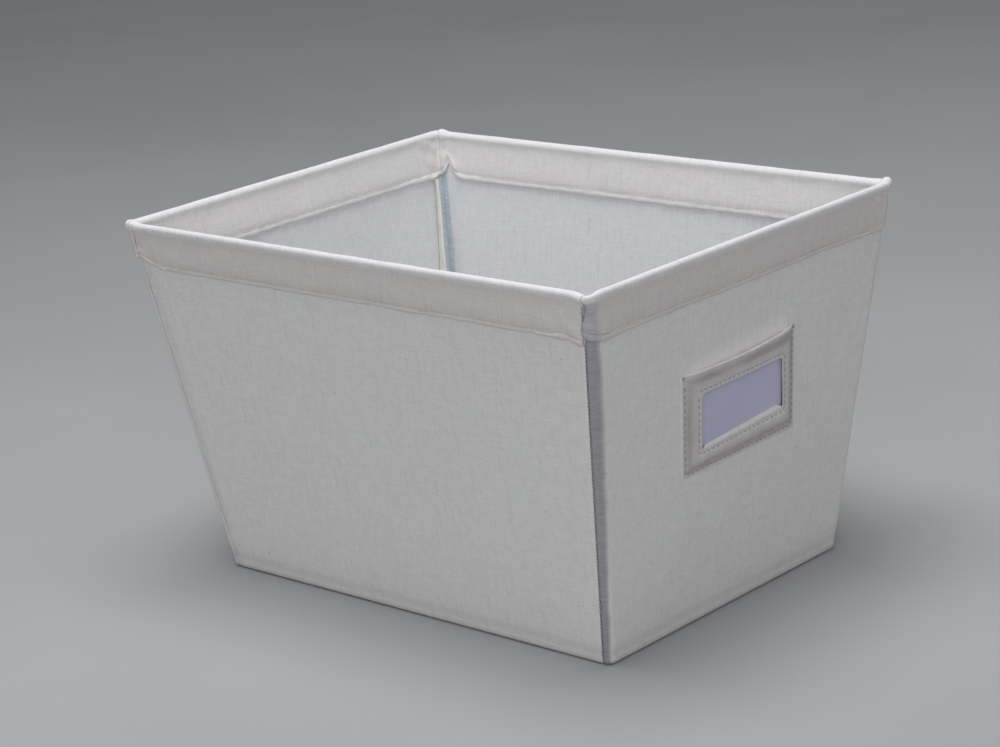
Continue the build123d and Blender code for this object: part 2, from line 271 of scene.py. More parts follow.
def thread_material(name, colour, dark):
    """Twisted sewing thread, painted lighter on top of each twist and darker between: painted highlight and
    shade.
    """
    material, tree, output = new_material(name)
    place = object_place(tree)
    twist = noise_at(tree, place, 1900, 2.0)
    base = blended(tree, twist, dark, colour)
    normal = relief_normal(tree, twist, 0.5, 0.1 * MM)
    inputs = {"Base Color": base, "Roughness": 0.75, "Sheen Weight": 0.2, "Normal": normal}
    finish_material(tree, output, inputs)
    return material


def card_material():
    """Smooth white card with a faint cool tint and a little tooth, its colour darkened as painted shade of
    the pocket it sits in.
    """
    material, tree, output = new_material("card_stock")
    place = object_place(tree)
    tooth = noise_at(tree, place, 2600, 3.0)
    cloud = noise_at(tree, place, 25, 2.0)
    base = blended(tree, cloud, (0.555, 0.540, 0.705), (0.595, 0.578, 0.745))
    normal = relief_normal(tree, tooth, 0.12, 0.05 * MM)
    roughness = tone(tree, tooth, 0.55, 0.68)
    finish_material(tree, output, {"Base Color": base, "Roughness": roughness, "Normal": normal})
    return material


def board_material():
    """White-lined fibreboard with pressed fibres."""
    material, tree, output = new_material("fibreboard")
    place = object_place(tree)
    fibre = noise_at(tree, stretch(tree, place, 500, 500, 2600), 1.0, 4.0)
    cloud = noise_at(tree, place, 30, 3.0)
    base = blended(tree, cloud, (0.60, 0.58, 0.53), (0.72, 0.70, 0.66))
    base = mixed(tree, tone(tree, fibre, 0.0, 0.25), base, (0.45, 0.42, 0.36, 1))
    normal = relief_normal(tree, fibre, 0.3, 0.2 * MM)
    roughness = tone(tree, fibre, 0.8, 0.95)
    finish_material(tree, output, {"Base Color": base, "Roughness": roughness, "Normal": normal})
    return material


def steel_material(name, colour, scratch):
    """Drawn steel with fine lines and small changes of tint."""
    material, tree, output = new_material(name)
    place = object_place(tree)
    lines = noise_at(tree, stretch(tree, place, 60, 60, 4000), 1.0, 3.0)
    cloud = noise_at(tree, place, 80, 3.0)
    base = blended(tree, cloud, [0.6 * channel for channel in colour], colour)
    normal = relief_normal(tree, lines, scratch, 0.05 * MM)
    roughness = tone(tree, lines, 0.28, 0.5)
    inputs = {"Base Color": base, "Metallic": 1.0, "Roughness": roughness, "Normal": normal}
    finish_material(tree, output, inputs)
    return material


def floor_material():
    """Plain pale studio floor, barely mottled."""
    material, tree, output = new_material("studio_floor")
    place = object_place(tree)
    cloud = noise_at(tree, place, 2.5, 3.0)
    base = blended(tree, cloud, (0.40, 0.40, 0.40), (0.43, 0.43, 0.43))
    finish_material(tree, output, {"Base Color": base, "Roughness": 0.85, "Specular IOR Level": 0.1})
    return material


# in each cloth below, the darker colour stands for unbacked cloth, dirt and painted shade, and the pale
# colour for a painted highlight
canvas = cloth_material(
    "outer_canvas",
    colour=(0.815, 0.808, 0.790),
    bare_dirt_and_shade=(0.370, 0.360, 0.390),
    warm=(0.812, 0.786, 0.762),
    pale=(0.97, 0.925, 0.90),
)
cuff_canvas = cloth_material(
    "cuff_canvas",
    colour=(0.735, 0.686, 0.650),
    bare_dirt_and_shade=(0.46, 0.445, 0.48),
    warm=(0.735, 0.702, 0.685),
    pale=(0.86, 0.86, 0.870),
)
# the lining's darker colour is bluish: painted shade of the seam tape's fin over its unbacked strip
lining = cloth_material(
    "lining_cloth",
    colour=(0.775, 0.775, 0.797),
    bare_dirt_and_shade=(0.575, 0.660, 0.725),
    warm=(0.77, 0.76, 0.76),
    relief=0.3,
)
tape_cloth = cloth_material(
    "seam_tape",
    colour=(0.88, 0.88, 0.81),
    bare_dirt_and_shade=(0.84, 0.84, 0.76),
    warm=(0.90, 0.88, 0.79),
    flecks=1.1,
)
holder_canvas = cloth_material(
    "holder_canvas",
    colour=(0.690, 0.648, 0.625),
    bare_dirt_and_shade=(0.46, 0.425, 0.43),
    warm=(0.69, 0.665, 0.675),
)
insert_canvas = cloth_material(
    "insert_canvas",
    colour=(0.80, 0.80, 0.785),
    bare_dirt_and_shade=(0.70, 0.69, 0.67),
    warm=(0.81, 0.79, 0.765),
)
thread = thread_material("thread", (0.74, 0.71, 0.66), (0.42, 0.38, 0.34))
# the holder's thread is dark partly as painted shade of the grooves its stitches sink into
dark_thread = thread_material("holder_thread", (0.46, 0.43, 0.40), (0.27, 0.25, 0.235))
# painted shade: a near-black thread that stands for the shade in the front corner's seam
seam_shadow_thread = thread_material("seam_shadow_thread", (0.20, 0.19, 0.20), (0.10, 0.095, 0.10))
cream_thread = thread_material("tape_thread", (0.88, 0.87, 0.80), (0.60, 0.58, 0.50))
card_stock = card_material()
fibreboard = board_material()
wire_steel = steel_material("wire_steel", (0.62, 0.62, 0.63), 0.15)
sleeve_steel = steel_material("sleeve_steel", (0.50, 0.50, 0.51), 0.35)


# ---- meshes ----
def new_piece(name, vertices, faces, material, body):
    """A smooth mesh object that rides on a body and takes this material."""
    mesh = bpy.data.meshes.new(name)
    mesh.from_pydata(vertices, [], faces)
    mesh.polygons.foreach_set("use_smooth", [True] * len(faces))
    mesh.materials.append(material)
    piece = bpy.data.objects.new(name, mesh)
    bpy.context.scene.collection.objects.link(piece)
    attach(piece, body)
    return piece


def set_cloth_data(piece, places, tones):
    """Stores each vertex's place in the weave, in metres, and its tone."""
    mesh = piece.data
    layer = mesh.uv_layers.new(name="cloth")
    for loop in mesh.loops:
        layer.data[loop.index].uv = places[loop.vertex_index]
    mesh.attributes.new("tone", "FLOAT", "POINT").data.foreach_set("value", tones)


def thicken(piece, thickness):
    """Gives cloth its thickness, behind its face."""
    layer = piece.modifiers.new("thickness", "SOLIDIFY")
    layer.thickness = thickness
    layer.offset = -1.0
    return piece


def grid_faces(rows, columns, closed=False):
    """The quads of a grid of vertices, row by row; a closed grid joins its last column to its first."""
    faces = []
    for i in range(rows - 1):
        for j in range(columns if closed else columns - 1):
            k = (j + 1) % columns
            faces.append((i * columns + j, i * columns + k, (i + 1) * columns + k, (i + 1) * columns + j))
    return faces


def cross_section(points):
    """Rows from a line of (out, z) points, with the length along the line and the face's normal at each."""
    rows = []
    up = 0.0
    for i, (out, z) in enumerate(points):
        before = points[max(i - 1, 0)]
        after = points[min(i + 1, len(points) - 1)]
        if i > 0:
            up += math.dist(points[i - 1], (out, z))
        along_out, along_z = after[0] - before[0], after[1] - before[1]
        size = math.hypot(along_out, along_z)
        rows.append(Row(out, z, up, along_z / size, -along_out / size))
    return rows


def half_width(z, out):
    """Half the bin's size along X at height z, this far out from the walls' middle surface."""
    return RIM_X - FLARE * (RIM_Z - z) + out


def half_length(z, out):
    """The same along Y."""
    return RIM_Y - FLARE * (RIM_Z - z) + out


def flat_and_reach(wall, z, out):
    """Half the flat of a wall, its distance from the middle of the bin, and its corner's radius."""
    curve = max(CORNER_RADIUS + out, SHARPEST)
    if WALLS[wall][1]:
        return half_width(z, out) - curve, half_length(z, out), curve
    return half_length(z, out) - curve, half_width(z, out), curve


def wall_point(wall, column, z, out):
    """The point of a wall at a column, a height and a distance out."""
    sign_x, sign_y = WALLS[wall]
    share, turn = column
    flat, reach, curve = flat_and_reach(wall, z, out)
    along = share * flat + math.copysign(curve * math.sin(turn), share)
    away = reach - curve * (1 - math.cos(turn))
    if sign_y:
        return Vector((-sign_y * along, sign_y * away, z))
    return Vector((sign_x * away, sign_x * along, z))


def measure(wall, column, z, out):
    """How far along the cloth a column is from the wall's middle, and how far from the nearer corner seam."""
    share, turn = column
    flat, _, curve = flat_and_reach(wall, z, out)
    along = share * flat + math.copysign(curve * turn, share)
    whole = flat + (curve * math.pi / 2 if wall in ENDS else 0.0)
    return along, whole - abs(along)


def wall_columns(wall, spacing=2.6 * MM, fine=1.0 * MM, fine_width=16 * MM):
    """Columns from seam to seam: fine ones near the corners, and the ends' quarter turns beyond them."""
    flat = flat_and_reach(wall, RIM_Z, 0)[0]
    half = []
    x = 0.0
    while x < flat - fine_width:
        half.append((x / flat, 0.0))
        x += spacing
    steps = round(fine_width / fine)
    half += [(1 - fine_width * (1 - i / steps) / flat, 0.0) for i in range(steps + 1)]
    if wall in ENDS:
        half += [(1.0, math.radians(90 * i / 9)) for i in range(1, 10)]
    return [(-share, turn) for share, turn in reversed(half[1:])] + half


def which_corner(along):
    """Which end of its wall a place is nearer to, as the corner tables name them."""
    return 1 if along > 0 else -1


def place(wall, column, row, shape):
    """A point of shaped cloth: where it is, its place in the weave and its tone."""
    along, to_seam = measure(wall, column, row.z, row.out)
    raise_by, lift, cloth_tone = shape(along, to_seam, row)
    z = row.z + lift + row.normal_z * raise_by
    out = row.out + row.normal_out * raise_by
    return wall_point(wall, column, z, out), (along + SEEDS[wall], row.up), cloth_tone


def wall_cloth(name, wall, rows, shape, material, nodes):
    """A sheet of cloth on one wall, in place of its CAD nodes."""
    columns = wall_columns(wall)
    made = [place(wall, column, row, shape) for row in rows for column in columns]
    vertices = [point for point, _, _ in made]
    piece = new_piece(name, vertices, grid_faces(len(rows), len(columns)), material, "bin")
    set_cloth_data(piece, [uv for _, uv, _ in made], [cloth_tone for _, _, cloth_tone in made])
    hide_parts(*nodes)
    return thicken(piece, CLOTH)


def declare_wall_cloth(wall, rows):
    """Measures how far a wall's cloth reaches along the wall at its highest and lowest rows; the measures are
    not kept.
    """
    for row in (max(rows, key=lambda r: r.z), min(rows, key=lambda r: r.z)):
        along, _ = measure(wall, wall_columns(wall)[-1], row.z, row.out)


# ---- outer canvas ----
def base_curve(face, floor, radius, turn_under):
    """Points (out, z) from a turned-under edge, round the bottom edge and on to the wall."""
    setback = radius * math.tan((math.pi / 2 - LEAN) / 2)
    points = [(face - turn_under + i * (turn_under - setback) / 4, floor) for i in range(4)]
    for i in range(8):
        angle = -math.pi / 2 + (math.pi / 2 - LEAN) * i / 7
        points.append((face - setback + radius * math.cos(angle), floor + radius * (1 + math.sin(angle))))
    return [(out - FLARE * (z - floor), z) for out, z in points]


def wall_line(face, low, high, spacing=2.6 * MM):
    """Points (out, z) straight up a wall's face."""
    steps = round((high - low) / spacing)
    return [(face, low + (high - low) * i / steps) for i in range(1, steps + 1)]


def seam_groove(to_seam):
    """Cloth rolls in where it is sewn to its neighbour."""
    return -0.9 * MM * bump(to_seam, 0.0, 0.9 * MM)


# how dark the strips beside the outer corner seams are painted, as unbacked cloth and painted shade of the
# hollow behind it: plainly so at two corners, faintly at the others
STRIP_SHADE_TONES = {
    ("label_end", -1): 1.0,
    ("label_end", 1): 0.12,
    ("plain_end", -1): 0.9,
    ("plain_end", 1): 0.2,
    ("left_side", -1): 0.14,
    ("left_side", 1): 0.0,
    ("right_side", -1): 0.0,
    ("right_side", 1): 0.12,
}
MOUTH_Z = 174 * MM  # the label holder's top edge


def mouth_bulge(wall, along, z):
    """1 at the label holder's open top, where it draws the canvas out, and falling off round it."""
    if wall != "label_end":
        return 0.0
    side = smooth(-0.066, -0.046, along) * (1 - smooth(0.036, 0.054, along))
    mouth = MOUTH_Z + 0.037 * (along + 6 * MM)
    fade = (9 + 75 * (along + 60 * MM)) * MM
    return side * (1 - smooth(-2 * MM, fade, z - mouth)) * smooth(-26 * MM, -8 * MM, z - mouth)


def canvas_shape(wall):
    """Canvas over a board: nearly flat, with faint waves, drawn in at its seams."""
    seed = SEEDS[wall]

    def shape(along, to_seam, row):
        under_cuff = smooth(WALL_TOP - 40 * MM, WALL_TOP - 26 * MM, row.z)
        on_wall = smooth(2 * MM, 12 * MM, row.z) * (1 - under_cuff)

        # broad and small waves, the pull of the corner stitches, and a groove over the base's edge
        waves = 0.20 * MM * wave(along, row.z, 55 * MM, seed) + 0.09 * MM * wave(along, row.z, 16 * MM, seed)
        pull = bump(to_seam, 9 * MM, 7 * MM) * wave(along * 0.3, row.z, 9 * MM, seed + 5)
        raise_by = on_wall * (waves + 0.34 * MM * pull) + seam_groove(to_seam)
        raise_by -= 0.25 * MM * bump(row.z, 10 * MM, 3 * MM) * on_wall
        bulge = mouth_bulge(wall, along, row.z)
        raise_by += 1.25 * MM * bulge

        # the bare strip, painted dark as unbacked cloth and painted shade, widens and softens towards the
        # top; the foot is painted darker, as painted shade along the bottom edge and in the groove over the
        # base's edge
        higher = smooth(0, 0.2, row.z)
        strip = BARE_SHADED_STRIP * (0.62 + 0.42 * higher) + 0.7 * MM * wave(row.z, 0, 12 * MM, seed)
        soft = 1.4 * MM + 1.6 * MM * higher
        in_strip = 1 - smooth(strip - soft, strip + soft, to_seam)
        cloth_tone = STRIP_SHADE_TONES[wall, which_corner(along)] * in_strip
        foot = max(0.30 * (1 - smooth(1.5 * MM, 5 * MM, row.z)), 0.22 * bump(row.z, 9 * MM, 2.5 * MM))
        # subtracting the bulge paints it pale: a painted highlight where the canvas tilts up to the light
        # above the holder's mouth
        cloth_tone = cloth_tone + foot * (1 - abs(cloth_tone)) - bulge
        return raise_by, 0.0, cloth_tone

    return shape


bottom = base_curve(CANVAS_FACE, 0.0, 2.8 * MM, TURN_UNDER)
canvas_rows = cross_section(bottom + wall_line(CANVAS_FACE, bottom[-1][1], WALL_TOP))
for wall in WALLS:
    nodes = [f"outer_panel_{wall}"]
    panel = wall_cloth(f"canvas_{wall}", wall, canvas_rows, canvas_shape(wall), canvas, nodes)
    declare_wall_cloth(wall, canvas_rows)


# ---- lining ----
def lining_shape(wall):
    """Lining over a board, with a wider unbacked strip beside the corner seams of the long sides, painted
    bluish and dark also as the shade of the seam tape's fin.
    """
    seed = SEEDS[wall] + 100

    def shape(along, to_seam, row):
        on_wall = smooth(4 * MM, 16 * MM, row.z)
        waves = 0.24 * MM * wave(along, row.z, 60 * MM, seed) + 0.10 * MM * wave(along, row.z, 18 * MM, seed)
        raise_by = on_wall * waves
        strip = LINING_BARE_SHADED_STRIP if wall in SIDES else 0.4 * LINING_BARE_SHADED_STRIP
        # the strip's tone mixes in the bluish darker colour: unbacked cloth and painted shade of the fin
        cloth_tone = 1 - smooth(strip - 1.2 * MM, strip + 1.2 * MM, to_seam)
        raise_by -= 0.35 * MM * cloth_tone * on_wall
        return raise_by, 0.0, cloth_tone

    return shape


bottom = base_curve(-CANVAS_FACE, LINING_FLOOR, 2.3 * MM, TURN_UNDER)
lining_rows = cross_section(list(reversed(bottom + wall_line(-CANVAS_FACE, bottom[-1][1], WALL_TOP))))
for wall in WALLS:
    nodes = [f"lining_panel_{wall}"]
    panel = wall_cloth(f"lining_{wall}", wall, lining_rows, lining_shape(wall), lining, nodes)
    declare_wall_cloth(wall, lining_rows)


# ---- rim cuffs ----
def cuff_section():
    """Points (out, z) from the outer hem, up over the wire and down to the inner hem."""
    # in millimetres, as (out, height above the hem)
    folded_edge = [(1.95, 0.5), (2.15, 0.0), (2.6, -0.15), (2.95, 0.3), (3.0, 1.1), (2.85, 2.0)]
    stitch_line = [(2.5, 2.8), (2.42, 3.2), (2.8, 4.2)]
    band = [(2.98, 5.6), (3.05, 7.6), (3.02, 10), (2.9, 12.5), (2.7, 15), (2.45, 17.5), (2.22, 20)]
    band.append((2.08, 22))
    outside = [(out * MM, HEM_Z + rise * MM) for out, rise in folded_edge + stitch_line + band]
    outside.append((2.2 * MM, RIM_Z - 3.2 * MM))
    tube = []
    for i in range(15):
        angle = math.radians(-32 + 244 * i / 14)
        tube.append((TUBE_RADIUS * math.cos(angle), RIM_Z + TUBE_RADIUS * math.sin(angle)))
    return outside + tube + [(-out, z) for out, z in reversed(outside)]


def over_wire(row):
    """1 where a row of the cuff goes over the rim wire, 0 well below it."""
    return smooth(RIM_Z - 3.5 * MM, RIM_Z - 1 * MM, row.z)


def near_hem(row):
    """1 at the cuff's hem, 0 well above it."""
    return 1 - smooth(2 * MM, 16 * MM, row.z - HEM_Z)


def at_hem(row):
    """1 at the very edge of the hem, 0 above its stitches."""
    return 1 - smooth(0, 4 * MM, row.z - HEM_Z)


def slack(to_seam):
    """1 at a corner, where the cuff is loose, 0 along the middle of its wall."""
    return 1 - smooth(4 * MM, 40 * MM, to_seam)


# how a corner of the cuff sits: the rim's dip and swell, and how far the hem stands off and droops
Corner = namedtuple("Corner", "dip swell flare droop")
CORNERS = {
    ("label_end", -1): Corner(1.5 * MM, -0.2 * MM, 1.7 * MM, -4.2 * MM),
    ("label_end", 1): Corner(-0.3 * MM, 1.7 * MM, 0.9 * MM, -2.0 * MM),
    ("plain_end", -1): Corner(0.2 * MM, 0.3 * MM, 1.0 * MM, 0.0),
    ("plain_end", 1): Corner(-0.6 * MM, 0.9 * MM, 0.3 * MM, -6.0 * MM),
    ("left_side", 1): Corner(1.3 * MM, 0.1 * MM, 1.4 * MM, 2.2 * MM),
    ("left_side", -1): Corner(-0.6 * MM, 1.0 * MM, 0.5 * MM, -6.5 * MM),
    ("right_side", -1): Corner(0.3 * MM, 0.6 * MM, 1.2 * MM, 0.8 * MM),
    ("right_side", 1): Corner(-0.5 * MM, 0.9 * MM, 0.8 * MM, -1.0 * MM),
}
BARE_SHADED_CUFF_CORNER = ("label_end", -1)
NOTCH = 10.5 * MM  # how far the inner hem is drawn up near each corner
NOTCH_PLACE = 8.6 * MM  # along the long side from its corner seam
NOTCH_WIDTH = 14 * MM
INNER_DROP = 2.3 * MM  # how much lower the inner hem hangs than the outer


def inner_notch(wall, to_seam):
    """1 at the peak of the inner hem's notch, falling steeply to 0 either side of it."""
    distance = abs(to_seam - NOTCH_PLACE) if wall in SIDES else to_seam + NOTCH_PLACE
    near = max(0.0, 1 - distance / NOTCH_WIDTH)
    return near**2.6


def outer_hem(wall, along, to_seam, row, line):
    """How the outer hem stands off and droops near a corner: raised by, lifted by."""
    corner = CORNERS[wall, which_corner(along)]
    uneven = 0.8 + 0.4 * wave(along, 0, 11 * MM, line + 6)
    droop_width = 12 * MM if corner.droop < -5 * MM else 8 * MM
    lift = -corner.droop * bump(to_seam, 0, droop_width) * near_hem(row)
    return near_hem(row) * slack(to_seam) * corner.flare * uneven, lift


def inner_hem(wall, along, to_seam, row, line):
    """The inner hem's notch, drop and puckers: raised by, lifted by."""
    near_corner = 1 - smooth(6 * MM, 26 * MM, to_seam)
    notch = inner_notch(wall, to_seam)
    raise_by = 1.4 * MM * near_hem(row) * bump(notch, 0.25, 0.3)
    raise_by += (0.6 + 0.9 * near_corner) * MM * at_hem(row) * wave(along, 0, 7 * MM, line + 7)
    pucker = wave(along * 0.5 - row.z, row.z * 0.3, 6 * MM, line + 8)
    raise_by += 1.1 * MM * pucker * (1 - smooth(10 * MM, 30 * MM, to_seam)) * (1 - over_wire(row))
    lift = (NOTCH * notch - INNER_DROP) * (1 - smooth(0, 0.9 * (RIM_Z - HEM_Z), row.z - HEM_Z))
    lift += 1.3 * MM * near_corner * at_hem(row) * wave(along, 0, 5 * MM, line + 11)
    return raise_by, lift


def cuff_shape(wall):
    """Loose unbacked canvas: small puckers at the stitches, slack and puckered hems at the corners."""
    seed = SEEDS[wall] + 200

    def shape(along, to_seam, row):
        corner = CORNERS[wall, which_corner(along)]
        on_tube = over_wire(row)
        outer = row.out > 0
        line = seed if outer else seed + 31

        # broad waves, stitch puckers, small unevenness and the wire's own waviness
        raise_by = 0.30 * MM * wave(along, row.z, 28 * MM, line) * (1 - on_tube)
        raise_by += 0.18 * MM * wave(along, row.z * 0.35, 6 * MM, line + 1) * near_hem(row)
        raise_by += 0.35 * MM * wave(along, row.z * 0.5, 15 * MM, line + 10) * near_hem(row)
        raise_by += 0.12 * MM * wave(along, row.z, 9 * MM, line + 2) * (1 - 0.5 * on_tube)
        raise_by += 0.20 * MM * wave(along, 0, 22 * MM, seed + 9) * on_tube

        # slanting creases in the slack cloth at a corner, and the rim's swell and dip there
        creases = wave(along + row.z * 0.8, row.z * 0.25, 9 * MM, line + 3)
        raise_by += slack(to_seam) * (1 - on_tube) * 1.1 * MM * creases
        raise_by += corner.swell * bump(to_seam, 2.5 * MM, 4 * MM) * on_tube
        lift = -corner.dip * bump(to_seam, 1 * MM, 5 * MM) * smooth(RIM_Z - 14 * MM, RIM_Z, row.z)

        # an uneven hem line
        lift += 0.5 * MM * wave(along, 0, 38 * MM, line + 4) * near_hem(row)
        lift += 0.35 * MM * wave(along, 0, 9 * MM, line + 5) * near_hem(row)
        lift += 0.45 * MM * wave(along, 0, 3.5 * MM, line + 12) * at_hem(row)

        hem_raise, hem_lift = (outer_hem if outer else inner_hem)(wall, along, to_seam, row, line)
        raise_by += hem_raise
        # painted highlight: the cuff is painted pale where it goes over the wire and faces the light above
        cloth_tone = -0.6 * on_tube
        if outer:
            raise_by += seam_groove(to_seam) * (1 - on_tube)
            # at the front corner the cuff is painted dark beside its seam: unbacked cloth and painted shade
            if (wall, which_corner(along)) == BARE_SHADED_CUFF_CORNER:
                cloth_tone += 0.9 * (1 - smooth(7 * MM, 12 * MM, to_seam)) * (1 - on_tube)
        else:
            raise_by *= max(on_tube, smooth(-1 * MM, 4 * MM, to_seam))
            # painted light: the inner face is painted paler than the outer face of the same cloth
            cloth_tone -= 0.3 * (1 - on_tube)
        return raise_by, lift + hem_lift, cloth_tone

    return shape


cuff_rows = cross_section(cuff_section())
for wall in WALLS:
    nodes = [f"rim_cuff_{wall}"]
    cuff = wall_cloth(f"cuff_{wall}", wall, cuff_rows, cuff_shape(wall), cuff_canvas, nodes)
    declare_wall_cloth(wall, cuff_rows)


# ---- thread work ----
class Threads:
    """Collects short arched stitches into one mesh."""

    AROUND = 6  # points round a thread
    SECTIONS = 5  # rings along a stitch

    def __init__(self):
        """Starts with no stitches."""
        self.vertices = []
        self.faces = []

    def stitch(self, start, end, normal, radius=THREAD_RADIUS, sink=0.22 * MM):
        """One stitch from start to end, its ends pulled into the cloth."""
        first = len(self.vertices)
        along = (end - start).normalized()
        across = normal.cross(along).normalized()
        for i in range(self.SECTIONS):
            t = i / (self.SECTIONS - 1)
            arch = math.sin(math.pi * t)
            centre = start.lerp(end, t) + normal * (sink * (arch * 1.4 - 0.6))
            size = radius * (0.45 + 0.55 * arch)
            for j in range(self.AROUND):
                angle = 2 * math.pi * j / self.AROUND
                self.vertices.append(centre + size * (math.cos(angle) * across + math.sin(angle) * normal))
        for i in range(self.SECTIONS - 1):
            for j in range(self.AROUND):
                k = (j + 1) % self.AROUND
                a, b = first + i * self.AROUND, first + (i + 1) * self.AROUND
                self.faces.append((a + j, b + j, b + k, a + k))
        self.faces.append(tuple(first + j for j in range(self.AROUND)))
        last = first + (self.SECTIONS - 1) * self.AROUND
        self.faces.append(tuple(last + j for j in reversed(range(self.AROUND))))

    def run(self, points, normals, share=0.72, **sizes):
        """A row of stitches through the points, each covering this share of its pitch."""
        for i in range(len(points) - 1):
            end = points[i].lerp(points[i + 1], share)
            self.stitch(points[i], end, normals[i], **sizes)

    def piece(self, name, material, slot, nodes=()):
        """Makes the stitches' mesh, in place of these CAD nodes if there are any."""
        made = new_piece(name, self.vertices, self.faces, material, "bin")
        if nodes:
            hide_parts(*nodes)


def outward(wall):
    """The outward normal of a wall."""
    sign_x, sign_y = WALLS[wall]
    return Vector((sign_x * math.cos(LEAN), sign_y * math.cos(LEAN), -math.sin(LEAN)))


def hem_row(wall, outer):
    """The cross-section row that a hem's stitches follow."""
    stitched = [row for row in cuff_rows if (row.out > 0) == outer]
    return min(stitched, key=lambda row: abs(row.z - (HEM_Z + HEM_STITCH_RISE)))


rng = random.Random(5)


def stitch_hem(threads, wall, outer):
    """The stitches of one hem, a little uneven, ending short of the corners."""
    row = hem_row(wall, outer)
    flat = flat_and_reach(wall, row.z, row.out)[0]
    reach = flat - HEM_STITCH_END + CORNER_RADIUS
    count = round(2 * reach / STITCH_PITCH)
    normal = outward(wall) if outer else -outward(wall)
    points = []
    for i in range(count + 1):
        along = -reach + 2 * reach * i / count + rng.uniform(-0.15, 0.15) * MM
        point, _, _ = place(wall, (along / flat, 0.0), row, cuff_shape(wall))
        point = point + Vector((0, 0, 0.3 * MM * wave(along, 0, 30 * MM, SEEDS[wall])))
        points.append(point + normal * 0.12 * MM)
    threads.run(points, [normal] * len(points), radius=0.3 * MM)


hem_threads = Threads()
for wall in WALLS:
    for outer in (True, False):
        stitch_hem(hem_threads, wall, outer)
hem_threads.piece("hem_stitches", thread, "thread", ["hem_stitching"])


def bar_tack(threads, middle, along, normal, length, width):
    """A dense bar of satin stitches laid across its length."""
    across = normal.cross(along).normalized()
    count = round(length / (0.42 * MM))
    for i in range(count):
        centre = middle + along * (length * (i / (count - 1) - 0.5))
        lean = along * (0.25 * MM * (1 if i % 2 else -1))
        half = across * (width / 2 * (1 + 0.12 * rng.uniform(-1, 1)))
        threads.stitch(centre - half - lean, centre + half + lean, normal, radius=0.3 * MM, sink=0.3 * MM)


# in millimetres: distance of each tack's middle from the middle of its wall, its length and its width
TACKS = {
    "left_side": ((165, 16, 2.2), (-168, 5, 1.8)),
    "right_side": ((160, 12, 1.6), (-161, 12, 1.6)),
    "label_end": ((-112, 12, 1.6), (121, 12, 1.6)),
    "plain_end": ((-112, 12, 1.6), (112, 12, 1.6)),
}
tacks = Threads()
for wall, entries in TACKS.items():
    row = hem_row(wall, True)
    flat = flat_and_reach(wall, row.z, row.out)[0]
    for along, length, width in entries:
        middle, _, _ = place(wall, (along * MM / flat, 0.0), row, cuff_shape(wall))
        middle = middle + outward(wall) * 0.8 * MM - Vector((0, 0, 1.6 * MM))
        level = Vector((0, 0, 1)).cross(outward(wall)).normalized()
        bar_tack(tacks, middle, level, outward(wall), length * MM, width * MM)
tacks.piece("tack_stitches", cream_thread, "thread", ["bar_tacks"])


# ---- corner seam tapes ----
def tape_frame(wall_signs, z):
    """Root, inward direction and sideways direction of a corner seam's fin at height z.

    The seam wanders off the corner along the end wall, and the fin leans towards the long side.
    """
    sign_x, sign_y = wall_signs
    below = 1 - smooth(130 * MM, 215 * MM, z)
    lean = math.radians(8 + 20 * below + 3 * wave(z, 0, 30 * MM, sign_x * 3 + sign_y))
    angle = math.radians(45) + lean
    inward = Vector((-sign_x * math.cos(angle), -sign_y * math.sin(angle), 0))
    aside = Vector((-sign_x * math.sin(angle), sign_y * math.cos(angle), 0))
    wander = (4.4 + 3.0 * below) * MM
    root = Vector((sign_x * (half_width(z, -2.6 * MM) - wander), sign_y * half_length(z, -2.6 * MM), z))
    return root, inward, aside


TAPE_DEPTH = 7.6 * MM
# across the tape's fold, from one side's root to its tip, in millimetres: (depth, half thickness)
TAPE_SIDE = [(0.3, 1.0), (1.5, 1.05), (3.0, 1.0), (4.6, 0.95), (6.2, 0.95), (7.1, 0.8), (7.55, 0.4)]
TAPE_SECTION = TAPE_SIDE + [(7.6, 0.0)] + [(depth, -side) for depth, side in reversed(TAPE_SIDE)]
LOOP_PITCH = 2.4 * MM
CORNER_SIGNS = {
    "label_left": (-1, -1),
    "label_right": (1, -1),
    "plain_left": (-1, 1),
    "plain_right": (1, 1),
}


def seam_tape(corner, signs):
    """Tape folded over a corner seam's fin, its tip scalloped by the overlock loops."""
    vertices, places = [], []
    count = round((SEAM_HEAD - SEAM_FOOT) / (0.6 * MM))
    for i in range(count + 1):
        z = SEAM_FOOT + (SEAM_HEAD - SEAM_FOOT) * i / count
        root, inward, aside = tape_frame(signs, z)
        scallop = 0.45 * MM * abs(math.sin(math.pi * z / LOOP_PITCH))
        for j, (depth, side) in enumerate(TAPE_SECTION):
            at_tip = smooth(4.5, 7.4, depth)
            puff = 1 + 0.25 * wave(z, depth * MM, 9 * MM, 3.0)
            vertices.append(root + inward * (depth * MM + at_tip * scallop) + aside * (side * MM * puff))
            places.append((1.3 * MM * j, z))
    tape = new_piece(
        f"tape_{corner}",
        vertices,
        grid_faces(count + 1, len(TAPE_SECTION)),
        tape_cloth,
        "bin",
    )
    set_cloth_data(tape, places, [0.0] * len(vertices))
    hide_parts(f"seam_tape_{corner}")


def overlock(threads, signs):
    """Loops of thread over the tip of a corner's tape, up both of its sides."""
    z = SEAM_FOOT + LOOP_PITCH / 2
    while z < SEAM_HEAD - LOOP_PITCH:
        root, inward, aside = tape_frame(signs, z)
        for side in (-1, 1):
            start = root + inward * 4.6 * MM + aside * side * 1.05 * MM + Vector((0, 0, -0.9 * MM))
            end = root + inward * (TAPE_DEPTH + 0.35 * MM) + aside * side * 0.35 * MM
            threads.stitch(start, end, aside * side, radius=0.22 * MM)
            threads.stitch(end, start + Vector((0, 0, LOOP_PITCH * 0.8)), aside * side, radius=0.22 * MM)
        z += LOOP_PITCH


